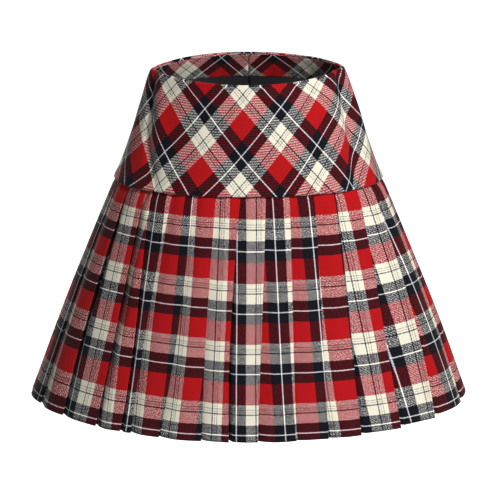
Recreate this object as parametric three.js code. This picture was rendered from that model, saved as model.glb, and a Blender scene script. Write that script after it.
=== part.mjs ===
// Pleated mini skirt: a bias-cut hip yoke with a turned-in waist casing and a plain yoke lining,
// and a straight-grain lower skirt in thirty knife pleats that all face the same way.
// Millimetres, +Z up. The origin is the centre of the waist opening, in the plane of its rim.
// The wearer's front faces -Y, and +X is on the right of someone who looks at that front.
import * as THREE from 'three';

// Driving dimensions
const yokeWall = 1.2;         // outer cloth of the yoke with its seam allowances
const casingWall = 1.8;       // turned-in cloth with the flat elastic inside it
const liningWall = 1.0;       // plain lining of the yoke
const pleatWall = 1.0;        // cloth of the pleats
const seamGap = 0.3;          // space left between pieces that are sewn together
const casingDepth = 31;       // how far the waist edge is turned in
const foldStep = 1.5;         // distance between two pressed layers, middle to middle
const stackDepth = 3.0;       // three pressed layers at the yoke seam
const hemDepth = 8.5;         // how deep a pleat stands open at the hem
const pleatCloth = 60;        // cloth that each pleat takes up
const leastFold = 8;          // cloth that stays folded where a pleat hangs almost open
const shareOfDepth = 0.65;    // a fold is never deeper than this share of its cloth
const shareOfPitch = 0.6;     // a fold never reaches further back than this share of its neighbour
const foldEase = 1.2;         // the next face clears the fold above it by this much
const sideFallShare = 132 / 128;   // the yoke is this much longer at its sides than at its front
const seamBow = 2.0;          // fullness of the lower skirt half way down
const backPleats = 15;
const yokeFalls = [0, 8, casingDepth, 50, 70, 90, 110, 128];   // rows of the yoke and what lines it
const yokeColumns = 36;       // steps round half of the yoke
const ringColumns = 2 * yokeColumns;   // the casing and the lining have the yoke's own steps
const clothRed = 0xb01820;
const liningBlack = 0x17161a;

// Outer outline of the yoke, measured down from the waist rim
const yokeSections = [
  { name: 'waist rim', fall: 0, halfWidth: 115, frontDepth: 78, backDepth: 78 },
  { name: 'top of elastic', fall: 8, halfWidth: 118.2, frontDepth: 79.6, backDepth: 79.8 },
  { name: 'foot of casing', fall: 31, halfWidth: 124.8, frontDepth: 83, backDepth: 84 },
  { name: 'high hip', fall: 62, halfWidth: 134.8, frontDepth: 88.6, backDepth: 90.5 },
  { name: 'low hip', fall: 95, halfWidth: 146.4, frontDepth: 94.6, backDepth: 98 },
  { name: 'yoke seam', fall: 128, halfWidth: 159, frontDepth: 101, backDepth: 105.5 },
];

// Outer outline of the lower skirt at its seam and at its hem
const pleatTop = { fall: 128, sideFall: 132, halfWidth: 159, frontDepth: 101, backDepth: 105.5 };
const pleatHem = { fall: 409, sideFall: 402, halfWidth: 263, frontDepth: 167, backDepth: 171 };
const pleatRows = [0, 0.1, 0.25, 0.43, 0.62, 0.81, 1];

// Pressed fold edges of the pleats that show from the front: where each lies on the yoke seam
// and on the hem, in degrees round the skirt, 0 at centre front and positive towards +X
const frontFolds = [
  { fold: 'left side', seamAngle: -90, hemAngle: -75 },
  { fold: 'left 7', seamAngle: -66, hemAngle: -58.2 },
  { fold: 'left 6', seamAngle: -53, hemAngle: -45.2 },
  { fold: 'left 5', seamAngle: -45.4, hemAngle: -38.2 },
  { fold: 'left 4', seamAngle: -35.4, hemAngle: -31.2 },
  { fold: 'left 3', seamAngle: -25, hemAngle: -23.1 },
  { fold: 'left 2', seamAngle: -13.6, hemAngle: -13.8 },
  { fold: 'left 1', seamAngle: -3.4, hemAngle: -5.5 },
  { fold: 'middle', seamAngle: 7.4, hemAngle: 2.9 },
  { fold: 'right 1', seamAngle: 18.1, hemAngle: 12.3 },
  { fold: 'right 2', seamAngle: 29.7, hemAngle: 21 },
  { fold: 'right 3', seamAngle: 42.1, hemAngle: 30.7 },
  { fold: 'right 4', seamAngle: 53.7, hemAngle: 43 },
  { fold: 'right 5', seamAngle: 66.5, hemAngle: 58.2 },
  { fold: 'right side', seamAngle: 82.4, hemAngle: 76 },
];

// Soft folds of the yoke: the angle of each at the rim, half way and at the seam, its height
// (negative is a trough) and its half width in degrees
const yokeCreases = [
  { crease: 'left ridge', rim: -84, middle: -68, seam: -49, height: 2.6, spread: 6 },
  { crease: 'left trough', rim: -98, middle: -80, seam: -60, height: -3.2, spread: 8 },
  { crease: 'right ridge', rim: 70, middle: 68, seam: 52, height: 2.6, spread: 6 },
  { crease: 'right trough', rim: 83, middle: 80, seam: 63, height: -3.2, spread: 8 },
  { crease: 'back left ridge', rim: -138, middle: -128, seam: -120, height: 2.0, spread: 8 },
  { crease: 'back right ridge', rim: 134, middle: 126, seam: 121, height: 2.2, spread: 8 },
  { crease: 'centre back trough', rim: 179, middle: 176, seam: 172, height: -2.0, spread: 7 },
];

const degrees = Math.PI / 180;

function mix(from, to, share) {
  return from + (to - from) * share;
}

function clamp(value, low, high) {
  return Math.min(Math.max(value, low), high);
}

// Outline of the yoke at any fall, between the two rows of the table that enclose it
function yokeSection(fall) {
  let row = 1;
  while (row < yokeSections.length - 1 && yokeSections[row].fall < fall) row += 1;
  const above = yokeSections[row - 1];
  const below = yokeSections[row];
  const share = (fall - above.fall) / (below.fall - above.fall);
  return {
    fall,
    sideFall: fall * sideFallShare,
    halfWidth: mix(above.halfWidth, below.halfWidth, share),
    frontDepth: mix(above.frontDepth, below.frontDepth, share),
    backDepth: mix(above.backDepth, below.backDepth, share),
  };
}

// Outline of the lower skirt at a share of the way down from the seam, with the gap at the seam
function pleatSection(share) {
  const bow = seamBow * Math.sin(Math.PI * share);
  const drop = seamGap * (1 - share);
  return {
    fall: mix(pleatTop.fall, pleatHem.fall, share) + drop,
    sideFall: mix(pleatTop.sideFall, pleatHem.sideFall, share) + drop,
    halfWidth: mix(pleatTop.halfWidth, pleatHem.halfWidth, share) + bow,
    frontDepth: mix(pleatTop.frontDepth, pleatHem.frontDepth, share) + bow,
    backDepth: mix(pleatTop.backDepth, pleatHem.backDepth, share) + bow,
  };
}

// A point on a section at an angle round it, moved outwards by the given distance
function sectionPoint(section, angle, outwards) {
  const across = Math.sin(angle * degrees);
  const ahead = Math.cos(angle * degrees);
  const depth = ahead > 0 ? section.frontDepth : section.backDepth;
  const normal = new THREE.Vector2(across / section.halfWidth, -ahead / depth).normalize();
  const height = -mix(section.sideFall, section.fall, ahead * ahead);
  return new THREE.Vector3(
    section.halfWidth * across + normal.x * outwards,
    -depth * ahead + normal.y * outwards,
    height,
  );
}

// Millimetres along a section for each degree of angle
function lengthPerDegree(section, angle) {
  const across = Math.sin(angle * degrees);
  const ahead = Math.cos(angle * degrees);
  const depth = ahead > 0 ? section.frontDepth : section.backDepth;
  return Math.hypot(section.halfWidth * ahead, depth * across) * degrees;
}

// Angles that divide the section from one angle to another into equal lengths
function evenAngles(section, fromAngle, toAngle, count) {
  const steps = 720;
  const lengths = [0];
  for (let step = 0; step < steps; step += 1) {
    const angle = mix(fromAngle, toAngle, (step + 0.5) / steps);
    lengths.push(lengths[step] + lengthPerDegree(section, angle) * (toAngle - fromAngle) / steps);
  }
  const angles = [];
  for (let part = 1; part < count; part += 1) {
    const wanted = lengths[steps] * part / count;
    const step = lengths.findIndex((length) => length >= wanted);
    angles.push(mix(fromAngle, toAngle, step / steps));
  }
  return angles;
}

// Closed wall between two grids of points, whose rows run down and whose columns run round.
// A whole ring joins its last column to its first, and an open strip gets two end faces.
function wallGeometry(outer, inner, isRing) {
  const rows = outer.length;
  const columns = outer[0].length;
  const positions = [];
  for (const grid of [outer, inner]) {
    for (const line of grid) {
      for (const point of line) positions.push(point.x, point.y, point.z);
    }
  }
  const outside = (row, column) => row * columns + (column % columns);
  const inside = (row, column) => rows * columns + outside(row, column);
  const indices = [];
  const quad = (a, b, c, d) => indices.push(a, b, c, a, c, d);
  const spans = isRing ? columns : columns - 1;
  for (let column = 0; column < spans; column += 1) {
    const next = column + 1;
    for (let row = 0; row < rows - 1; row += 1) {
      quad(outside(row, column), outside(row + 1, column), outside(row + 1, next), outside(row, next));
      quad(inside(row, column), inside(row, next), inside(row + 1, next), inside(row + 1, column));
    }
    quad(inside(0, column), outside(0, column), outside(0, next), inside(0, next));
    const foot = rows - 1;
    quad(outside(foot, column), inside(foot, column), inside(foot, next), outside(foot, next));
  }
  if (!isRing) {
    const end = columns - 1;
    for (let row = 0; row < rows - 1; row += 1) {
      quad(inside(row, 0), inside(row + 1, 0), outside(row + 1, 0), outside(row, 0));
      quad(outside(row, end), outside(row + 1, end), inside(row + 1, end), inside(row, end));
    }
  }
  const geometry = new THREE.BufferGeometry();
  geometry.setAttribute('position', new THREE.Float32BufferAttribute(positions, 3));
  geometry.setIndex(indices);
  geometry.computeVertexNormals();
  return geometry;
}

function clothMesh(name, geometry, color) {
  const material = new THREE.MeshStandardMaterial({ color, roughness: 0.85, metalness: 0 });
  const mesh = new THREE.Mesh(geometry, material);
  mesh.name = name;
  return mesh;
}

// Angle from one direction to another, between -180 and 180 degrees
function turn(from, to) {
  return ((to - from + 540) % 360) - 180;
}

// Height of the yoke's soft folds at an angle and a share of the way down
function creaseHeight(angle, share) {
  let height = 0;
  for (const crease of yokeCreases) {
    const upper = mix(crease.rim, crease.middle, share * 2);
    const lower = mix(crease.middle, crease.seam, share * 2 - 1);
    const away = turn(share < 0.5 ? upper : lower, angle) / crease.spread;
    const fade = Math.sin(Math.PI * mix(0.12, 0.93, share));
    height += crease.height * fade * Math.exp(-away * away);
  }
  return height;
}

// Grid of points on the yoke's outline, moved inwards by a depth, between two falls
function yokeGrid(falls, angles, depth) {
  const lastFall = yokeSections[yokeSections.length - 1].fall;
  return falls.map((fall) => {
    const section = yokeSection(fall);
    const share = fall / lastFall;
    return angles.map((angle) => sectionPoint(section, angle, creaseHeight(angle, share) - depth));
  });
}

function spread(from, to, steps) {
  return Array.from({ length: steps + 1 }, (_, step) => mix(from, to, step / steps));
}

// Half of the yoke, from one side seam to the other
function makeYoke(name, fromAngle) {
  const seamAngle = seamGap / 2 / lengthPerDegree(yokeSection(0), 90);
  const angles = spread(fromAngle + seamAngle, fromAngle + 180 - seamAngle, yokeColumns);
  const outer = yokeGrid(yokeFalls, angles, 0);
  const inner = yokeGrid(yokeFalls, angles, yokeWall);
  return clothMesh(name, wallGeometry(outer, inner, false), clothRed);
}

// Whole ring inside the yoke, between two falls
function makeInnerRing(name, falls, wall, color) {
  const angles = spread(-180, 180, ringColumns).slice(0, ringColumns);
  const depth = yokeWall + seamGap;
  const outer = yokeGrid(falls, angles, depth);
  const inner = yokeGrid(falls, angles, depth + wall);
  return clothMesh(name, wallGeometry(outer, inner, true), color);
}

// Fold edges of all the pleats at a share of the way down: the front ones from their table,
// and the back ones evenly along the section behind them
function foldAngles(section, share) {
  const front = frontFolds.map((row) => mix(row.seamAngle, row.hemAngle, share));
  const behind = evenAngles(section, front[front.length - 1], front[0] + 360, backPleats + 1);
  return front.concat(behind);
}

// Cloth folded away at each fold edge: how far it reaches back under the pleat before it,
// and how deep it lies
function foldShapes(section, angles, share) {
  const count = angles.length;
  const open = mix(stackDepth, hemDepth, share);
  const pitches = angles.map((angle, index) => {
    const before = index > 0 ? angles[index - 1] : angles[count - 1] - 360;
    return lengthPerDegree(section, (angle + before) / 2) * (angle - before);
  });
  return angles.map((angle, index) => {
    const nextPitch = pitches[(index + 1) % count];
    const hidden = Math.max(pleatCloth - nextPitch, leastFold);
    const depth = clamp(shareOfDepth * hidden, stackDepth, open);
    const back = (hidden * hidden - depth * depth) / (2 * hidden);
    return { pitch: pitches[index], depth, back: Math.min(back, shareOfPitch * pitches[index]) };
  });
}

// Middle line of one pleat, from the inner fold behind the fold edge before it, along its face
// to its own fold edge, and back to the next inner fold. Each entry is an angle and a depth.
function pleatLine(section, edgeBefore, edge, foldBefore, fold, share) {
  const perDegree = lengthPerDegree(section, (edgeBefore + edge) / 2);
  const start = edgeBefore - foldBefore.back / perDegree;
  const clear = edgeBefore + foldEase / perDegree;
  const end = edge - fold.back / perDegree;
  const faceLength = edge - start;
  const depthBefore = foldBefore.depth;
  const looseness = clamp((depthBefore - stackDepth) / (hemDepth - stackDepth), 0, 1);
  const faceDepth = (angle, pressed) => {
    const hanging = 1 - (angle - start) / faceLength;
    return depthBefore * mix(pressed, hanging, looseness);
  };
  const middle = (clear + end) / 2;
  return [
    { angle: start, depth: depthBefore },
    { angle: clear, depth: faceDepth(clear, 0.97) },
    { angle: middle, depth: faceDepth(middle, 0.45) },
    { angle: end, depth: faceDepth(end, 0.08) * mix(1, 0.8, share) },
    { angle: edge, depth: 0 },
    { angle: edge, depth: foldStep },
    { angle: end, depth: fold.depth - foldStep },
  ];
}

// Moves a line of plan points sideways by half the wall, with mitred corners
function offsetLine(points, distance) {
  return points.map((point, index) => {
    const before = points[Math.max(index - 1, 0)];
    const after = points[Math.min(index + 1, points.length - 1)];
    const into = new THREE.Vector2(point.x - before.x, point.y - before.y);
    const out = new THREE.Vector2(after.x - point.x, after.y - point.y);
    if (index === 0) into.copy(out);
    if (index === points.length - 1) out.copy(into);
    into.normalize();
    out.normalize();
    const side = new THREE.Vector2(into.y + out.y, -into.x - out.x).normalize();
    const mitre = distance / Math.max(side.x * into.y - side.y * into.x, 0.5);
    return new THREE.Vector3(point.x + side.x * mitre, point.y + side.y * mitre, point.z);
  });
}

// A run of pleats as one zig-zag wall, from the pleat at firstPleat to the one before endPleat
function makePleats(name, firstPleat, endPleat) {
  const outer = [];
  const inner = [];
  for (const share of pleatRows) {
    const section = pleatSection(share);
    const edges = foldAngles(section, share);
    const folds = foldShapes(section, edges, share);
    const count = edges.length;
    const middleLine = [];
    for (let pleat = firstPleat; pleat < endPleat; pleat += 1) {
      const index = pleat % count;
      const beforeIndex = (index + count - 1) % count;
      const edgeBefore = index > 0 ? edges[beforeIndex] : edges[beforeIndex] - 360;
      const entries = pleatLine(
        section, edgeBefore, edges[index], folds[beforeIndex], folds[index], share);
      for (const { angle, depth } of entries) {
        middleLine.push(sectionPoint(section, angle, -depth - pleatWall / 2));
      }
    }
    outer.push(offsetLine(middleLine, pleatWall / 2));
    inner.push(offsetLine(middleLine, -pleatWall / 2));
  }
  return clothMesh(name, wallGeometry(outer, inner, false), clothRed);
}

const casingFalls = yokeFalls.filter((fall) => fall <= casingDepth);
const liningFalls = [casingDepth + seamGap, ...yokeFalls.filter((fall) => fall > casingDepth)];
const pleatCount = frontFolds.length + backPleats;
const skirt = new THREE.Group();
skirt.add(makeYoke('front_yoke', -90));
skirt.add(makeYoke('back_yoke', 90));
skirt.add(makeInnerRing('waist_casing', casingFalls, casingWall, clothRed));
skirt.add(makeInnerRing('yoke_lining', liningFalls, liningWall, liningBlack));
skirt.add(makePleats('front_pleats', 0, frontFolds.length));
skirt.add(makePleats('back_pleats', frontFolds.length, pleatCount));

export default skirt;
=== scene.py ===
from math import pi

import bpy
import numpy as np
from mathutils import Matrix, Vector


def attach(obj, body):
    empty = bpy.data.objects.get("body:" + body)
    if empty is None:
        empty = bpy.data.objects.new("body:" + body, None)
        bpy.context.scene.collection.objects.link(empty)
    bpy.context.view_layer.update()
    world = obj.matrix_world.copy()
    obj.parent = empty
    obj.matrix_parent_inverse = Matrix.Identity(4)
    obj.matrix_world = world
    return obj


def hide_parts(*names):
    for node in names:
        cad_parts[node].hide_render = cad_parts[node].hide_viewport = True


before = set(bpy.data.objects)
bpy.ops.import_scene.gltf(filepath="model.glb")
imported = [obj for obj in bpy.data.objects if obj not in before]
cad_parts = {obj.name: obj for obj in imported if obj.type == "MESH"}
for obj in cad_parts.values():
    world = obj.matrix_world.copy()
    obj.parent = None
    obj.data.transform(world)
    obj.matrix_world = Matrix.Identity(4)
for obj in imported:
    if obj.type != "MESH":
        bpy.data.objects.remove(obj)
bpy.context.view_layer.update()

# Pleated mini skirt in a red, cream and navy tartan twill, filled out and hanging from its waist.
# Sizes are in millimetres and become metres in one place, where a shell's mesh is made.
# Angles go round the skirt in degrees, 0 at centre front (-Y) and positive towards +X.
metre = 0.001

view = {
    "distance": 4500,      # from the middle of the waist, measured level
    "height": 1225,        # of the camera above the waist
    "aimHeight": -225.5,
    "aimSide": 1.8,
    "pixelsPerRadian": 3940,
    "frameWidth": 500,
}
tartan = {
    "sett": 72,            # one repeat of the check
    "red": "#BE121B",
    "navy": "#0C101C",
    "cream": "#F3EEDC",
    "faint": "#7E786C",
    "white": "#FFFEF8",
    "stripes": [           # where each stripe begins, in repeats, the same in warp and weft
        (0.000, "red"), (0.333, "navy"), (0.667, "cream"), (0.827, "navy"), (0.845, "cream"),
        (0.872, "faint"), (0.882, "cream"), (0.910, "faint"), (0.920, "cream"),
    ],
    "creamMiddle": 0.8333,
    "whiteLine": 0.503,    # its place in the repeat, and half its width in warp and in weft
    "whiteWarp": 0.010,
    "whiteWeft": 0.009,
    "whiteOver": 0.7,      # how far the white yarn covers the one it crosses
    "grain": 2.1,          # how strongly single threads show where two colours cross
    "eyeGamma": 2.2,
    "dyeGamma": 2.6,
}


def say(text):
    print("skirt:", text)


def linear(hexColor):  # sRGB hex to linear, with alpha 1
    parts = np.array([int(hexColor[i:i + 2], 16) for i in (1, 3, 5)]) / 255
    low, high = parts / 12.92, ((parts + 0.055) / 1.055) ** 2.4
    return (*np.where(parts <= 0.04045, low, high), 1.0)


def mix(a, b, share):  # a at share 0 and b at share 1
    return a + (b - a) * share


def smooth(x):  # 0 below 0, 1 above 1, and an even S between them
    x = np.clip(x, 0, 1)
    return x * x * (3 - 2 * x)


# Outline of the garment

yokeOutline = {  # outer outline down from the waist rim
    "fall": [0, 8, 31, 62, 95, 128],
    "halfWidth": [115, 118.2, 124.8, 134.8, 146.4, 159],
    "frontDepth": [78, 79.6, 83, 88.6, 94.6, 101],
    "backDepth": [78, 79.8, 84, 90.5, 98, 105.5],
    "sideShare": 132 / 128,  # the yoke is this much longer at its sides
    "rimPinch": 0.45,
    "rimDraw": 3,
}
pleatOutline = {  # outer outline of the lower skirt at the yoke seam and at the hem
    "fall": [128, 409],
    "sideFall": [132, 402],
    "halfWidth": [159, 263],
    "frontDepth": [101, 167],
    "backDepth": [105.5, 171],
    "bow": 2.0,
}
yokeCreases = {  # soft folds: angle at the rim, half way and at the seam, height, half width, cloth taken in
    "left hip": (-90, -80, -66, 1.8, 8.0, 0),
    "left trough": (-73, -61, -44, -4.4, 3.6, 8),
    "left ridge": (-60, -51, -35, 2.2, 5.0, 2),
    "right ridge": (57, 52, 43, 2.2, 5.0, 2),
    "right trough": (67, 61, 52, -4.2, 3.6, 8),
    "right hip": (84, 78, 68, 4.0, 8.0, 0),
    "back left ridge": (-138, -128, -120, 2.0, 8.0, 0),
    "back right ridge": (134, 126, 121, 2.2, 8.0, 0),
    "centre back trough": (179, 176, 172, -2.0, 7.0, 3),
}


def turn(fromAngle, toAngle):  # the shorter way round, from -180 to 180 degrees
    return (toAngle - fromAngle + 540) % 360 - 180


def creaseAngle(crease, share):  # the fold's angle, straight from rim to middle and from middle to seam
    rim, middle, seam = crease[:3]
    return np.where(share < 0.5, mix(rim, middle, share * 2), mix(middle, seam, share * 2 - 1))


def creaseHeight(angle, share):
    # sum over the folds of height * sin(pi * (0.12 .. 0.93 of the way)) * exp(-(angle away / half width)^2)
    fade = np.sin(pi * mix(0.12, 0.93, np.clip(share, 0, 1)))
    total = 0
    for crease in yokeCreases.values():
        away = turn(creaseAngle(crease, share), angle) / crease[4]
        total = total + crease[3] * fade * np.exp(-away * away)
    return total


def ringPoint(angle, fall, sideFall, halfWidth, frontDepth, backDepth, outwards, pinch=0.0):
    # x = halfWidth * sin a, y = -depth * cos a * |cos a|^pinch, moved out along the ellipse's normal,
    # z falls by sideFall at the sides and by fall at front and back
    across, ahead = np.sin(np.radians(angle)), np.cos(np.radians(angle))
    depth = np.where(ahead > 0, frontDepth, backDepth)
    normalX, normalY = across / halfWidth, -ahead / depth
    length = np.hypot(normalX, normalY)
    x = halfWidth * across + normalX / length * outwards
    y = -depth * ahead * np.abs(ahead) ** pinch + normalY / length * outwards
    z = -mix(sideFall, fall, ahead * ahead) + 0 * x
    return np.stack(np.broadcast_arrays(x, y, z), axis=-1)


def yokeRow(fall, key):  # a size of the yoke's outline at this fall, straight between its rows
    return np.interp(fall, yokeOutline["fall"], yokeOutline[key])


def yokePoint(angle, fall, depth):
    # the yoke's outline with its folds, moved in by depth; near the rim it bends more sharply at the sides
    angle, fall, depth = np.broadcast_arrays(angle, fall, depth)
    share = fall / yokeOutline["fall"][-1]
    nearRim = 1 - smooth(share / 0.4)
    point = ringPoint(
        angle, fall, fall * yokeOutline["sideShare"], yokeRow(fall, "halfWidth"),
        yokeRow(fall, "frontDepth"), yokeRow(fall, "backDepth"), creaseHeight(angle, share) - depth,
        yokeOutline["rimPinch"] * nearRim)
    # the wearer's left end of the rim is drawn in and stands up by the same few millimetres
    drawn = yokeOutline["rimDraw"] * np.maximum(np.sin(np.radians(angle)), 0) ** 3 * nearRim
    return point + drawn[..., None] * np.array([-1, 0, 1])


# Meshes

def unit(vectors):  # each divided by its length
    return vectors / np.maximum(np.linalg.norm(vectors, axis=-1, keepdims=True), 1e-12)


def gridNormals(points):
    # cross product of the downward and the round tangents, each the mean of the unit steps to both sides
    around = unit(np.diff(points, axis=1))
    around = np.concatenate([around[:, :1], around[:, :-1] + around[:, 1:], around[:, -1:]], axis=1)
    return unit(np.cross(np.gradient(points, axis=0), around))


def makeShell(name, points, uv, thickness, materials):
    # a grid of points (rows down, columns round) becomes a closed wall: the grid moved out and in
    # by half the thickness along its normals, joined along its four edges
    rows, columns = points.shape[:2]
    normals = gridNormals(points)
    sides = [points + normals * thickness / 2, points - normals * thickness / 2]
    vertices = np.concatenate([side.reshape(-1, 3) for side in sides]) * metre
    index = np.arange(rows * columns).reshape(rows, columns)
    inner = rows * columns
    a, b, c, d = index[:-1, :-1], index[1:, :-1], index[1:, 1:], index[:-1, 1:]
    quads = [np.stack([a, b, c, d], -1), np.stack([a, d, c, b], -1) + inner]
    rim = np.concatenate([index[0, :], index[1:, -1], index[-1, -2::-1], index[-2::-1, 0]])
    quads.append(np.stack([rim[:-1], rim[1:], rim[1:] + inner, rim[:-1] + inner], -1))
    faces = np.concatenate([q.reshape(-1, 4) for q in quads])
    mesh = bpy.data.meshes.new(name)
    mesh.from_pydata(vertices, [], faces)
    layer = mesh.uv_layers.new(name="clothMap")
    layer.data.foreach_set("uv", np.concatenate([uv.reshape(-1, 2)] * 2)[faces.ravel()].ravel())
    mesh.shade_smooth()
    piece = bpy.data.objects.new(name, mesh)
    bpy.context.collection.objects.link(piece)
    for material in materials:
        mesh.materials.append(material)
    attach(piece, "root")
    return piece


# Materials

def addNode(tree, kind, links=(), **settings):
    # one node with its settings, values for its inputs by name or number, and links from other sockets
    node = tree.nodes.new(kind)
    for key, value in settings.items():
        if key == "values":
            for socket, number in value.items():
                node.inputs[socket].default_value = number
        else:
            setattr(node, key, value)
    for source, socket in links:
        tree.links.new(source, node.inputs[socket])
    return node


def reckon(tree, operation, *inputs):  # a Math node on numbers and sockets
    values = {i: v for i, v in enumerate(inputs) if isinstance(v, (int, float))}
    links = [(v, i) for i, v in enumerate(inputs) if not isinstance(v, (int, float))]
    return addNode(tree, "ShaderNodeMath", links, operation=operation, values=values).outputs[0]


def stripeRamp(tree, position, halfLine):
    # the threads across one repeat: a third red, a third navy with a white line, and a third cream
    # with one dark and two faint lines
    white = tartan["whiteLine"]
    stops = sorted(tartan["stripes"] + [(white - halfLine, "white"), (white + halfLine, "navy")])
    ramp = addNode(tree, "ShaderNodeValToRGB", [(position, 0)])
    ramp.color_ramp.interpolation = "CONSTANT"
    for place, color in stops[1:]:
        ramp.color_ramp.elements.new(place)
    ramp.color_ramp.elements.remove(ramp.color_ramp.elements[-1])
    for element, (place, color) in zip(ramp.color_ramp.elements, stops):
        element.position = place
        element.color = linear(tartan[color])
    return ramp.outputs["Color"]


# tone below 1 gives a darker copy of the cloth: painted shade for cloth that lies in shade
def makeTartanTwill(name, ribPitch, ribDepth, threadPitch, tone=1.0):
    # spun polyester-viscose suiting, woven in a 2/2 twill from dyed yarns: matt with a faint bloom;
    # where two colours cross, the diagonal ribs of the twill show each of them in turn; the real ribs
    # are under 1 mm apart, so they are drawn wider, and plainer where the cloth isn't on the bias
    material = bpy.data.materials.new(name)
    material.use_nodes = True
    tree = material.node_tree
    tree.nodes.clear()
    sett = tartan["sett"]
    cloth = addNode(tree, "ShaderNodeUVMap", uv_map="clothMap")
    split = addNode(tree, "ShaderNodeSeparateXYZ", [(cloth.outputs[0], 0)])
    across, along = split.outputs[0], split.outputs[1]
    acrossPlace, alongPlace = reckon(tree, "FRACT", across), reckon(tree, "FRACT", along)
    warp = stripeRamp(tree, acrossPlace, tartan["whiteWarp"])
    weft = stripeRamp(tree, alongPlace, tartan["whiteWeft"])
    # twill rib: half and half, swinging along the cloth's diagonal once each rib
    diagonal = reckon(tree, "ADD", across, along)
    rib = reckon(tree, "SINE", reckon(tree, "MULTIPLY", diagonal, 2 * pi * sett / ribPitch))
    grain = addNode(tree, "ShaderNodeTexNoise", [(cloth.outputs[0], "Vector")], noise_dimensions="2D",
                    values={"Scale": sett / threadPitch, "Detail": 1.0, "Roughness": 0.6})
    mask = reckon(tree, "ADD", reckon(tree, "MULTIPLY", rib, ribDepth), 0.5)
    # noise is about half way up, so grain * (noise - 0.5) swings to both sides
    single = reckon(tree, "MULTIPLY_ADD", grain.outputs[0], tartan["grain"], -tartan["grain"] / 2)
    mask = reckon(tree, "ADD", mask, single)
    mask = reckon(tree, "MINIMUM", reckon(tree, "MAXIMUM", mask, 0.0), 1.0)
    # the white lines are a thicker yarn that lies over the others: there the mask goes most of the way
    # to its own side, 0 for warp and 1 for weft
    onWarp = reckon(tree, "COMPARE", acrossPlace, tartan["whiteLine"], tartan["whiteWarp"])
    onWeft = reckon(tree, "COMPARE", alongPlace, tartan["whiteLine"], tartan["whiteWeft"])
    over = tartan["whiteOver"]
    mask = reckon(tree, "MULTIPLY", mask, reckon(tree, "MULTIPLY_ADD", onWarp, -over, 1.0))
    rest = reckon(tree, "SUBTRACT", 1.0, mask)
    mask = reckon(tree, "ADD", mask, reckon(tree, "MULTIPLY", rest, reckon(tree, "MULTIPLY", onWeft, over)))
    # the two yarn colours are mixed as the eye judges them, so both are raised to 1/2.2 and the mix
    # to 2.6, which also deepens the dark ones
    eyeWarp = addNode(tree, "ShaderNodeGamma", [(warp, 0)], values={1: 1 / tartan["eyeGamma"]})
    eyeWeft = addNode(tree, "ShaderNodeGamma", [(weft, 0)], values={1: 1 / tartan["eyeGamma"]})
    both = addNode(tree, "ShaderNodeMix", data_type="RGBA")
    tree.links.new(mask, both.inputs[0])
    tree.links.new(eyeWarp.outputs[0], both.inputs[6])
    tree.links.new(eyeWeft.outputs[0], both.inputs[7])
    # unlike yarns side by side look darker than their mean, dark ones most, and a little cooler:
    # darker = unlikeness * (0.36 - 0.25 * green of both added), all of it in red and half of it in blue
    unlike = addNode(tree, "ShaderNodeVectorMath", [(eyeWarp.outputs[0], 0), (eyeWeft.outputs[0], 1)],
                     operation="DISTANCE")
    total = addNode(tree, "ShaderNodeVectorMath", [(eyeWarp.outputs[0], 0), (eyeWeft.outputs[0], 1)],
                    operation="ADD")
    added = addNode(tree, "ShaderNodeSeparateXYZ", [(total.outputs[0], 0)])
    unlikeness = reckon(tree, "MINIMUM", reckon(tree, "MULTIPLY", unlike.outputs[1], 2.0), 1.0)
    dim = reckon(tree, "MULTIPLY_ADD", added.outputs[1], -0.25, 0.36)
    darker = reckon(tree, "MULTIPLY", unlikeness, dim)
    parts = [reckon(tree, "MULTIPLY_ADD", darker, weight, 1.0) for weight in (-1.0, -0.95, -0.5)]
    factor = addNode(tree, "ShaderNodeCombineXYZ", list(zip(parts, range(3))))
    shaded = addNode(tree, "ShaderNodeVectorMath", [(both.outputs[2], 0), (factor.outputs[0], 1)],
                     operation="MULTIPLY")
    dyed = addNode(tree, "ShaderNodeGamma", [(shaded.outputs[0], 0)], values={1: tartan["dyeGamma"]})
    # uneven dye and handling: a few per cent lighter and darker over patches of 40 mm, all of it scaled by
    # tone, which below 1 is painted shade
    patch = addNode(tree, "ShaderNodeTexNoise", [(cloth.outputs[0], "Vector")], noise_dimensions="2D",
                    values={"Scale": sett / 40, "Detail": 3.0})
    level = reckon(tree, "MULTIPLY_ADD", patch.outputs[0], 0.16 * tone, 0.92 * tone)
    thread = reckon(tree, "MULTIPLY_ADD", grain.outputs[0], 0.3, 0.85)
    shade = addNode(tree, "ShaderNodeHueSaturation", [(dyed.outputs[0], "Color")])
    tree.links.new(reckon(tree, "MULTIPLY", level, thread), shade.inputs["Value"])
    height = reckon(tree, "ADD", reckon(tree, "MULTIPLY", rib, 0.5), grain.outputs[0])
    bump = addNode(tree, "ShaderNodeBump", [(height, "Height")],
                   values={"Strength": 0.35, "Distance": 0.0003})
    surface = addNode(tree, "ShaderNodeBsdfPrincipled",
                      [(shade.outputs[0], "Base Color"), (bump.outputs[0], "Normal")],
                      values={"Roughness": 0.85, "Specular IOR Level": 0.15,
                              "Sheen Weight": 0.04, "Sheen Roughness": 0.45})
    addNode(tree, "ShaderNodeOutputMaterial", [(surface.outputs[0], 0)])
    return material


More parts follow.
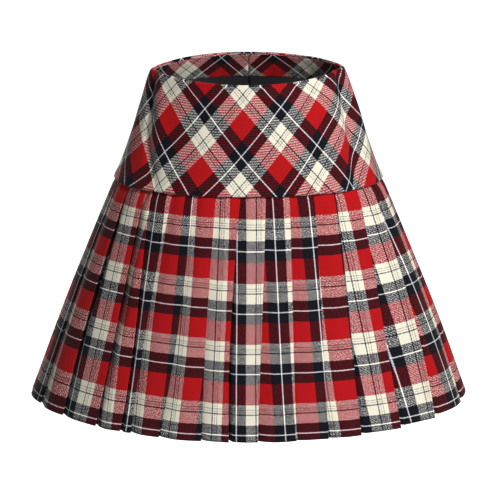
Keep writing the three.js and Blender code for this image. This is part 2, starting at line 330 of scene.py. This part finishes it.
def makeLiningCloth():
    # plain-woven polyester lining, calendered: black with a soft low gloss
    material = bpy.data.materials.new("calendered polyester lining")
    material.use_nodes = True
    tree = material.node_tree
    tree.nodes.clear()
    cloth = addNode(tree, "ShaderNodeUVMap", uv_map="clothMap")
    weave = addNode(tree, "ShaderNodeTexNoise", [(cloth.outputs[0], "Vector")], noise_dimensions="2D",
                    values={"Scale": tartan["sett"] / 0.8, "Detail": 2.0})
    tone = addNode(tree, "ShaderNodeValToRGB", [(weave.outputs[0], 0)])
    tone.color_ramp.elements[0].color = linear("#09080B")
    tone.color_ramp.elements[1].color = linear("#161418")
    bump = addNode(tree, "ShaderNodeBump", [(weave.outputs[0], "Height")],
                   values={"Strength": 0.2, "Distance": 0.0002})
    surface = addNode(tree, "ShaderNodeBsdfPrincipled",
                      [(tone.outputs[0], "Base Color"), (bump.outputs[0], "Normal")],
                      values={"Roughness": 0.5, "Specular IOR Level": 0.35, "Sheen Weight": 0.05})
    addNode(tree, "ShaderNodeOutputMaterial", [(surface.outputs[0], 0)])
    return material


# Camera, light and floor

floor = {"half": 30, "height": -1.4, "glow": 1.0}   # metres, and the strength of its own light
worldLight = 0.10
lamps = {  # place, size and power of each soft box, in metres and watts
    "key": ((1.9, -2.6, 1.9), 0.6, 142),
    "fill": ((-1.2, -3.2, 0.9), 1.2, 14),
    "top": ((0.0, 0.6, 2.4), 1.6, 2),
    "back": ((-1.2, 3.0, 1.4), 1.2, 70),
}


def makeStage():
    # a camera fitted to the photo, a white floor far below, an even white world and four soft boxes
    look = Vector((view["aimSide"], -view["distance"], view["height"])) * metre
    aim = Vector((view["aimSide"], 0, view["aimHeight"])) * metre
    data = bpy.data.cameras.new("camera")
    camera = bpy.data.objects.new("camera", data)
    bpy.context.collection.objects.link(camera)
    camera.location = look
    camera.rotation_mode = "QUATERNION"
    camera.rotation_quaternion = (aim - look).to_track_quat("-Z", "Y")
    data.sensor_width = 36
    data.lens = 36 * view["pixelsPerRadian"] / view["frameWidth"]
    data.clip_start, data.clip_end = 0.1, 60
    bpy.context.scene.camera = camera

    mesh = bpy.data.meshes.new("floor")
    half, level = floor["half"], floor["height"]
    corners = [(-half, -half, level), (half, -half, level), (half, half, level), (-half, half, level)]
    mesh.from_pydata(corners, [], [(0, 1, 2, 3)])
    plane = bpy.data.objects.new("floor", mesh)
    bpy.context.collection.objects.link(plane)
    paint = bpy.data.materials.new("white light table")
    paint.use_nodes = True
    shader = paint.node_tree.nodes["Principled BSDF"]
    shader.inputs["Base Color"].default_value = (0.9, 0.9, 0.9, 1)
    shader.inputs["Emission Color"].default_value = (1, 1, 1, 1)
    shader.inputs["Emission Strength"].default_value = floor["glow"]
    mesh.materials.append(paint)
    plane.visible_diffuse = False   # the white ground is seen but throws no light up into the folds

    world = bpy.data.worlds.new("studio")
    bpy.context.scene.world = world
    world.use_nodes = True
    world.node_tree.nodes["Background"].inputs[0].default_value = (1, 1, 1, 1)
    world.node_tree.nodes["Background"].inputs[1].default_value = worldLight
    for name, (place, size, power) in lamps.items():
        lamp = bpy.data.lights.new(name, "AREA")
        lamp.size, lamp.energy = size, power
        box = bpy.data.objects.new(name, lamp)
        box.location = place
        box.rotation_mode = "QUATERNION"
        box.rotation_quaternion = (Vector((0, 0, -0.2)) - Vector(place)).to_track_quat("-Z", "Y")
        bpy.context.collection.objects.link(box)
    bpy.context.scene.view_settings.view_transform = "Standard"


makeStage()
say("stage set")

biasTwill = makeTartanTwill("woven tartan twill on the bias", 3.9, 0.34, 1.15)
# the casing's twill is the same cloth darkened to 0.62 of its brightness: painted shade for the inside of
# the waist
shadedCasingTwill = makeTartanTwill("tartan twill darkened as painted shade", 3.9, 0.25, 1.15, 0.62)
tartanTwill = makeTartanTwill("woven tartan twill", 3.3, 0.22, 1.35)
liningCloth = makeLiningCloth()


# Yoke: bias-cut panels with the edge rolled over at the waist

yoke = {
    "thickness": 0.8,
    "roll": 1.5,              # radius of the turned edge
    "rollInside": 5,          # how far the rolled edge runs down inside
    "columns": 150,
    "rows": 46,
    "repeatAcross": 90,       # the bias check as it lies: one repeat across and one down
    "repeatDown": 109.6,
    "frontCrossing": (-6.5, 9.3),
    "backCrossing": (0, 30),
    "slope": 0.053,           # the panels sit turned by this slope
    "rimLength": 612,         # round the skirt
    "seamLength": 832.5,
    "lie": 1.015,             # length down the cloth for each millimetre of fall
    "rimDrop": 5,             # how far the check has moved beside the middle of the rim
    "rimSide": 4,
    "seamOut": 1.3,           # its lower edge stands this far proud of the pleats
}


def flatYoke(angle, fall, centre, crossing, slope=0.0):
    # place on the flat cloth, in repeats of a check turned 45 degrees: side is the length round the yoke
    # from the panel's centre and down the length from its rim, level all round because the bias gives;
    # crossing tells where the middles of two cream stripes cross, sideways and down
    down = fall * yoke["lie"]
    share = np.clip(fall / yokeOutline["fall"][-1], 0, 1)
    length = mix(yoke["rimLength"], yoke["seamLength"], share)
    side = evenAngle(turn(centre, angle)) / 360 * length
    for crease in yokeCreases.values():   # cloth taken in by a fold moves the check along beyond it
        place = turn(centre, creaseAngle(crease, share))
        away = (turn(centre, angle) - place) / crease[4]
        side = side + crease[5] * (smooth(away / 2 + 0.5) - (place < 0))
    # the stretched bias has moved by a few millimetres, most at the seam and towards the right
    side = side + share ** 2 * (4 - 0.07 * side + 0.0004 * side ** 2) - crossing[0]
    down = down + (slope * side + 0.0006 * side ** 2) * np.minimum(0.4 + 1.2 * share, 1) - crossing[1]
    # pulled by the waist, it lies lower beside the rim's middle, and on the right nearer to it
    beside = (1 - smooth(share / 0.24)) * smooth(np.abs(side + crossing[0]) / 65)
    down = down - yoke["rimDrop"] * beside
    side = side + yoke["rimSide"] * beside * (side + crossing[0] > 0)
    # p and q = side / repeat across, both ways, + down / repeat down + the middle of the cream stripe
    across, below = side / yoke["repeatAcross"], down / yoke["repeatDown"] + tartan["creamMiddle"]
    return np.stack([below + across, below - across], -1)


def evenAngle(angle):  # the angle this place would have if the length round the yoke were shared out evenly
    fine = np.linspace(-180, 180, 721)
    across = np.hypot(135 * np.cos(np.radians(fine)), 90 * np.sin(np.radians(fine)))
    length = np.concatenate([[0], np.cumsum((across[1:] + across[:-1]) / 2)])
    return np.interp(angle, fine, (length / length[-1] - 0.5) * 360)


def makeYoke(name, node, centre, crossing, slope):
    # half of the yoke round its centre angle, one profile of fall and depth carried round the outline
    angles = centre + np.linspace(-89.92, 89.92, yoke["columns"])[None]
    roll, lastFall = yoke["roll"], yokeOutline["fall"][-1]
    # profile: up the inside, half a circle over the rim, then down the outside to the seam
    bend = np.linspace(pi, 0, 9)[:, None]
    inside = np.linspace(yoke["rollInside"], roll * 1.15, 4)[:, None]
    outside = roll + (lastFall - roll) * np.linspace(0, 1, yoke["rows"])[1:, None]
    top = roll - roll * np.sin(bend)
    fall = np.concatenate([inside, top, outside])
    half = yoke["thickness"] / 2
    depth = np.concatenate([
        inside * 0 + half + 2 * roll, half + roll - roll * np.cos(bend), outside * 0 + half])
    depth = depth - yoke["seamOut"] * smooth((fall - lastFall + 14) / 14)
    # length from the rim on the cloth: down the outside, and back up from 2 mm over the rim inside
    cloth = np.concatenate([-inside - 2, top - 1 - np.cos(bend), outside])
    points = yokePoint(angles, fall, depth)
    uv = flatYoke(angles + 0 * fall, cloth + 0 * angles, centre, crossing, slope)
    piece = makeShell(name, points, uv, yoke["thickness"], [biasTwill])
    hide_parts(node)
    return piece


frontYoke = makeYoke("frontYokePanel", "front_yoke", 0, yoke["frontCrossing"], yoke["slope"])
backYoke = makeYoke("backYokePanel", "back_yoke", 180, yoke["backCrossing"], -yoke["slope"])
say("yoke made")


# Casing and lining inside the yoke

casing = {
    "thickness": 0.9,
    "top": 2.6,
    "foot": 31,
    "columns": 110,
    "rows": 14,
    "depth": 3.6,                  # inside the yoke's outline
    "gather": 0.5,                 # height of the small waves
    "leftCrossing": (-80, 19.6),   # cream crossings seen inside the back, left and right of the seam
    "rightCrossing": (78, 15.5),
    "squeeze": 1.52,               # the check stands this much closer down the casing than down the yoke
}
lining = {
    "thickness": 0.4,
    "top": 26,
    "foot": 129.5,
    "columns": 160,
    "rows": 30,
    "depth": 2.9,
    "slack": 0.9,                  # how far it stands off half way down, and its waves there
    "wave": 0.7,
}


def makeCasing():
    # a band inside the yoke all round, parted at centre back, waving in and out where it is gathered
    half = np.linspace(0.3, 179.9, casing["columns"])
    angles = np.concatenate([-half[::-1], half])[None]
    fall = np.linspace(casing["top"], casing["foot"], casing["rows"])[:, None]
    # gathers of the elastic: short uneven waves, strongest at the foot and round the back
    back = smooth((np.abs(angles) - 60) / 60)
    wave = np.sin(np.radians(angles) * 46 + 2 * np.sin(np.radians(angles) * 7))
    share = (fall - casing["top"]) / (casing["foot"] - casing["top"])
    depth = casing["depth"] + casing["gather"] * wave * back * share
    points = yokePoint(angles, fall, depth)
    # turned to the inside, its check runs the other way up; two pieces with their seam at centre back,
    # so the check doesn't meet there
    cloth = -fall * casing["squeeze"] + 0 * angles
    left, right = (
        flatYoke(angles + 0 * fall, cloth, 180, (-casing[key][0], -casing[key][1] * casing["squeeze"]))
        for key in ("leftCrossing", "rightCrossing"))
    uv = np.where((angles < 0)[..., None], left, right)
    # its twill is darkened as painted shade, since the casing lies in shade inside the waist
    piece = makeShell("waistCasing", points, uv, casing["thickness"], [shadedCasingTwill])
    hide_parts("waist_casing")
    return piece


def makeLining():
    angles = np.linspace(-179.9, 179.9, lining["columns"])[None]
    fall = np.linspace(lining["top"], lining["foot"], lining["rows"])[:, None]
    share = (fall - lining["top"]) / (lining["foot"] - lining["top"])
    # slack cloth between casing and seam: depth + (slack + waves) * sin(pi * share), so it hangs up to
    # 2 mm free of the yoke in long shallow waves
    wave = np.sin(np.radians(angles) * 11 + 1.3) + 0.6 * np.sin(np.radians(angles) * 19 + 4 * share)
    depth = lining["depth"] + (lining["slack"] + lining["wave"] * wave) * np.sin(pi * share)
    points = yokePoint(angles, fall, depth)
    uv = np.stack(np.broadcast_arrays(angles / 12 + 0 * fall, fall / 72 + 0 * angles), -1)
    piece = makeShell("yokeLining", points, uv, lining["thickness"], [liningCloth])
    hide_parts("yoke_lining")
    return piece


waistCasing = makeCasing()
yokeLining = makeLining()
say("casing and lining made")


# Pleats

pleat = {
    "thickness": 0.5,
    "step": 1.0,            # between two pressed layers
    "stack": 2.4,           # three pressed layers at the seam
    "cut": 1.4,             # left off each flat run for its turn
    "tuckUnder": 3.0,       # the top edge lies this far inside the yoke's outline, and the rest this far
    "tuckBelow": 0.5,
    "seamAllowance": 3,     # and runs this far up behind it
    "cutLength": 289,
    "rows": 72,
    "face": 18,             # columns on the face, the return and each of the two turns of a fold
    "return": 5,
    "turn": 5,
    "weftRepeat": 73,       # the check as it was measured down the pleats
    "weftStart": 25.4,
    "bulge": 1.6,           # how far a face swells out between its folds at the hem
    "ripple": 0.7,
    "wall": 1.5,            # an open fold's slope reaches this far past the edge before, and further for
    "wallDeep": 0.22,       # each millimetre that it is deep, most at the front's left side
    "wallLeft": 0.75,
}
frontFolds = {
    "left side": ((-79.5, -76.0, -72.5), (0.50, 0.55, 0.60), (30, 22, 12), (2.6, 3, 3), (-6, -12, -12), 0),
    "left 7": ((-63.7, -61.2, -58.0), (1.33, 1.33, 1.33), (29, 8, 2), (8, 10, 5), (-8, -13, -13), 0),
    "left 6": ((-50.0, -45.5, -43.7), (2.10, 2.13, 2.23), (47, 56, 16), (15, 20, 6), (-7, -9, -10), 0.5),
    "left 5": ((-46.3, -38.0, -35.4), (2.94, 3.18, 3.26), (30, 18, 8), (4, 8, 4), (-5, -7, -9), 0),
    "left 4": ((-34.9, -33.5, -32.0), (3.75, 3.61, 3.60), (18, 22, 12), (3, 5, 5), (-3.2, -6, -9), 0),
    "left 3": ((-23.8, -22.2, -23.7), (4.53, 4.46, 4.36), (30, 26, 21), (3, 5, 6), (-2.8, -5.4, -8), 0.5),
    "left 2": ((-13.8, -13.1, -12.2), (5.33, 5.32, 5.46), (31, 27, 15), (4, 6, 6), (-1.8, -4.4, -6.5), 0.5),
    "left 1": ((-3.3, -5.4, -5.0), (6.18, 6.09, 6.13), (29, 23, 18), (5, 12, 13), (0.3, -1.5, -3), 1),
    "middle": ((7.5, 4.4, 2.5), (7.0, 6.95, 6.87), (29, 21, 14), (3, 4, 6), (3.6, 2.5, 0.8), 0.5),
    "right 1": ((17.8, 14.3, 12.6), (7.78, 7.74, 7.69), (32, 25, 21), (3, 5, 7), (1.8, 1.2, 0.2), 0.5),
    "right 2": ((29.2, 24.0, 21.2), (8.61, 8.55, 8.47), (28, 30, 25), (3, 5, 8), (0.6, 1.2, 1.2), 1),
    "right 3": ((40.4, 34.1, 30.7), (9.37, 9.37, 9.34), (37, 24, 12), (4, 6, 9), (-1, 0.8, 2.3), 2),
    "right 4": ((54.6, 47.4, 43.8), (10.25, 10.21, 10.17), (35, 26, 13), (4, 7, 11), (-3, -3.6, 0), 3),
    "right 5": ((66.6, 64.3, 58.3), (11.0, 10.99, 10.96), (38, 25, 6), (4, 7, 12), (-5, -5.2, -0.8), 4),
    "right side": (
        (82.4, 81.5, 77.5), (11.79, 11.79, 11.8), (34, 22, 12), (5, 8, 12), (-5.6, -5.2, -2.5), 3),
}
backFolds = 15
foldCount = len(frontFolds) + backFolds
repeatsRound = 24


def pleatSection(share):  # the outline at this share, straight from seam to hem and bowed out a little
    def between(key):
        return mix(pleatOutline[key][0], pleatOutline[key][1], share)
    bow = pleatOutline["bow"] * np.sin(pi * np.clip(share, 0, 1))
    return {
        "fall": between("fall"), "sideFall": between("sideFall"), "halfWidth": between("halfWidth") + bow,
        "frontDepth": between("frontDepth") + bow, "backDepth": between("backDepth") + bow,
    }


def perDegree(section, angle):  # millimetres along the section for each degree
    across, ahead = np.sin(np.radians(angle)), np.cos(np.radians(angle))
    depth = np.where(ahead > 0, section["frontDepth"], section["backDepth"])
    return np.hypot(section["halfWidth"] * ahead, depth * across) * pi / 180


def backAngles(section, fromAngle, toAngle):  # fold edges at even lengths round the back
    fine = np.linspace(fromAngle, toAngle, 2001)
    length = np.concatenate([[0], np.cumsum(perDegree(section, (fine[1:] + fine[:-1]) / 2))])
    wanted = np.linspace(0, length[-1], backFolds + 2)[1:-1]
    return np.interp(wanted, length, fine)


def foldTable():
    # values down the length for each fold's edge, check, hidden cloth, opening and hang, the back folds
    # behind the front ones: evenly spaced at the seam, drifting a little at the hem, unevenly open
    edge, check, hidden, opening, hang = (
        np.array([row[part] for row in frontFolds.values()], float).T for part in range(5))
    drop = np.array([[row[5] for row in frontFolds.values()]], float)
    number = np.arange(backFolds)
    drift = 0.9 * np.sin(number * 2.1 + 0.6)
    backEdge = np.stack([backAngles(pleatSection(level / 2), edge[level, -1], edge[level, 0] + 360) +
                         drift * level / 2 for level in range(3)])
    step = (check[:, :1] + repeatsRound - check[:, -1:]) / (backFolds + 1)
    backCheck = check[:, -1:] + (number + 1) * step
    wander = np.sin(number * 1.3)
    backHidden = np.stack([0 * number + 30, 24 + 4 * wander, 14 + 5 * wander])
    open1, open2 = np.sin(number * 1.7), np.sin(number * 1.7 + 0.5)
    backOpening = np.stack([0 * number + 3.5, 6 + 2.5 * open1, 9 + 3 * open2])
    sway = np.sin(number * 1.9)
    backHang = np.stack([-2 + 2 * sway, -3 + 3 * sway, -2 + 2.5 * sway])
    pairs = ((edge, backEdge), (check, backCheck), (hidden, backHidden), (opening, backOpening),
             (hang, backHang), (drop, 1.2 + 0.8 * np.sin(number[None] * 1.1)))
    return [np.concatenate(pair, axis=1)[:, None] for pair in pairs]


def curve(values, level):  # the parabola through the values at seam, middle and hem
    seam, middle, hem = values
    return seam + level * (4 * middle - 3 * seam - hem) + level ** 2 * (2 * seam + 2 * hem - 4 * middle)


def bezier(a, b, c, d, count):  # cubic with its end points left out
    w = np.linspace(0, 1, count + 2)[None, 1:-1]
    return a * (1 - w) ** 3 + 3 * b * w * (1 - w) ** 2 + 3 * c * w ** 2 * (1 - w) + d * w ** 3


def makePleats(name, node, first, last):
    # a row for each share of the length; along it each fold gives a face, an outer turn, a return and an
    # inner turn, as angle, depth inside the outline, place in the check, hang and hem drop
    edgeTable, checkTable, hiddenTable, openTable, hangTable, dropTable = foldTable()
    share = np.linspace(-pleat["seamAllowance"] / pleat["cutLength"], 1, pleat["rows"])[:, None]
    level = np.clip(share, 0, 1)
    section = pleatSection(share)
    edge, check = curve(edgeTable, level), curve(checkTable, level)
    hidden = np.maximum(curve(hiddenTable, level), 0)
    stops = [0, 0.15, 0.5, 1]
    depth = np.concatenate([
        np.interp(level, stops, [pleat["stack"], *openTable[:, 0, k]]) for k in range(foldCount)], axis=1)
    before = np.roll(edge, 1, axis=1) - 360 * (np.arange(foldCount) == 0)
    checkBefore = np.roll(check, 1, axis=1) - repeatsRound * (np.arange(foldCount) == 0)
    scale = perDegree(section, edge)
    pitch = perDegree(section, (edge + before) / 2) * (edge - before)
    # the return runs from the edge back to the inner fold: half of the hidden cloth, or more if the fold
    # stands deeper open than that, and never past two thirds of its own face
    reach = np.maximum(hidden / 2, np.maximum(depth * 1.12, 5))
    under = np.minimum(np.sqrt(reach ** 2 - depth ** 2), pitch * 0.66)
    loose = np.clip((depth - pleat["stack"]) / 5, 0, 1)
    hang = hangTable[0] * np.interp(level, [0, 0.3, 0.5], [0, 1, 0])
    hang = hang + hangTable[1] * np.interp(level, [0.3, 0.5, 0.72], [0, 1, 0])
    hang = hang + hangTable[2] * np.interp(level, [0.5, 0.72, 0.95], [0, 1, 0])
    drop = dropTable[0] * level ** 2
    step, cut = pleat["step"], pleat["cut"]

    columns = []
    for k in range(first, last):
        here, prior = slice(k, k + 1), slice(k - 1, k) if k else slice(foldCount - 1, foldCount)
        mm, start = scale[:, here], before[:, here] - under[:, prior] / scale[:, here]
        span = edge[:, here] - start
        # face: from the inner fold behind the edge before it, out to its own edge; pressed, it lies
        # under that edge and comes level past it, and hanging it comes up in a slope beyond it
        w = np.linspace(0, 1, pleat["face"])[None] ** 0.9
        w = (cut + (span * mm - 2 * cut) * w) / (span * mm)
        angle = start + span * w
        clear = (before[:, here] + 1.0 / mm - start) / span
        pressed = 1 - smooth((w - clear) / 0.35)
        slack = loose[:, prior]
        left = np.maximum(-np.sin(np.radians(before[:, here])), 0)
        atLeft = pleat["wallLeft"] * left * (k < len(frontFolds))
        wall = pleat["wall"] + (pleat["wallDeep"] + atLeft) * depth[:, prior]
        sunk = 1 - smooth(w / (clear + wall / (span * mm)))
        faceDepth = depth[:, prior] * mix(pressed, sunk, slack)
        hump = np.sin(pi * np.clip((w - clear) / (1 - clear), 0, 1))
        swell = pleat["bulge"] * (1 + 0.5 * np.sin(k * 2.3)) * hump
        ripple = pleat["ripple"] * np.sin(2 * pi * (1.15 * level + 0.37 * k)) * hump
        faceDepth = faceDepth - (swell + ripple) * level
        # the check shows from just past the edge before to this edge, at real scale where it is hidden
        shown = (angle - before[:, here]) / (edge[:, here] - before[:, here])
        past = checkBefore[:, here] + hidden[:, prior] / tartan["sett"]
        facePhase = np.where(shown > 0, mix(past, check[:, here], shown),
                             past + (angle - before[:, here]) * mm / tartan["sett"])
        columns.append((angle, faceDepth, facePhase, hang[:, here] + 0 * angle,
                        drop[:, here] * np.clip(shown, 0, 1) ** 2))
        # return: back under the face to the inner fold, one layer below the face while it is pressed
        deep, aside, slack = depth[:, here], under[:, here], loose[:, here]
        w = cut / reach[:, here] + (1 - 2 * cut / reach[:, here]) * np.linspace(0, 1, pleat["return"])[None]
        returnAngle = edge[:, here] - aside * w / mm
        returnDepth = mix(step + (deep - 2 * step) * w, deep * w, slack)
        returnPhase = check[:, here] + reach[:, here] * w / tartan["sett"]
        # outer turn: a cubic whose handles carry on the face and the return, half round when pressed
        handle = mix(step * 1.2, cut * 0.7, slack)
        a = np.stack([angle[:, -1:] * mm, -faceDepth[:, -1:]])
        b = np.stack([returnAngle[:, :1] * mm, -returnDepth[:, :1]])
        run = a - np.stack([angle[:, -3:-2] * mm, -faceDepth[:, -3:-2]])
        rise = b - np.stack([returnAngle[:, 2:3] * mm, -returnDepth[:, 2:3]])
        run, rise = run / np.hypot(*run), rise / np.hypot(*rise)
        turned = bezier(a, a + run * handle, b + rise * handle, b, pleat["turn"])
        w = np.linspace(0, 1, pleat["turn"] + 2)[None, 1:-1]
        columns.append((turned[0] / mm, -turned[1], mix(facePhase[:, -1:], returnPhase[:, :1], w),
                        hang[:, here] + 0 * turned[0], drop[:, here] + 0 * turned[0]))
        w = np.linspace(0, 1, pleat["return"])[None]
        columns.append((returnAngle, returnDepth, returnPhase, hang[:, here] + 0 * returnAngle,
                        drop[:, here] * (1 - w)))
        # inner turn: round from the return to the start of the next face
        if k < last - 1:
            after = slice(k + 1, k + 2)
            nextSpan = edge[:, after] - edge[:, here] + aside / scale[:, after]
            nextStart = edge[:, here] - aside / scale[:, after]
            w = cut / (nextSpan * scale[:, after])
            c = np.stack([returnAngle[:, -1:] * mm, -returnDepth[:, -1:]])
            d = np.stack([(nextStart + nextSpan * w) * mm, -deep + 0 * w])
            run = c - np.stack([returnAngle[:, -3:-2] * mm, -returnDepth[:, -3:-2]])
            run = run / np.hypot(*run)
            turned = bezier(c, c + run * handle, d + np.stack([-handle, 0 * handle]), d, pleat["turn"])
            phase = returnPhase[:, -1:] + 0 * turned[0]
            columns.append((turned[0] / mm, -turned[1], phase, hang[:, here] + 0 * phase, 0 * phase))

    # full = each group's value spread over all rows
    full = [[np.broadcast_to(value, (pleat["rows"], value.shape[1])) for value in group]
            for group in columns]
    angle, depth, phase, lower, drop = (
        np.concatenate([group[part] for group in full], axis=1) for part in range(5))
    tuck = mix(pleat["tuckUnder"], pleat["tuckBelow"], smooth(share / 0.045)) + pleat["thickness"] / 2
    points = ringPoint(angle, section["fall"], section["sideFall"], section["halfWidth"],
                       section["frontDepth"], section["backDepth"], -depth - tuck)
    points = points - drop[..., None] * np.array([0, 0, 1])
    weft = (pleat["weftStart"] + lower - share * pleat["cutLength"]) / pleat["weftRepeat"]
    piece = makeShell(name, points, np.stack([phase, weft], -1), pleat["thickness"], [tartanTwill])
    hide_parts(node)
    return piece


frontPleats = makePleats("frontPleatPanel", "front_pleats", 0, len(frontFolds))
backPleats = makePleats("backPleatPanel", "back_pleats", len(frontFolds), foldCount)
say("pleats made")
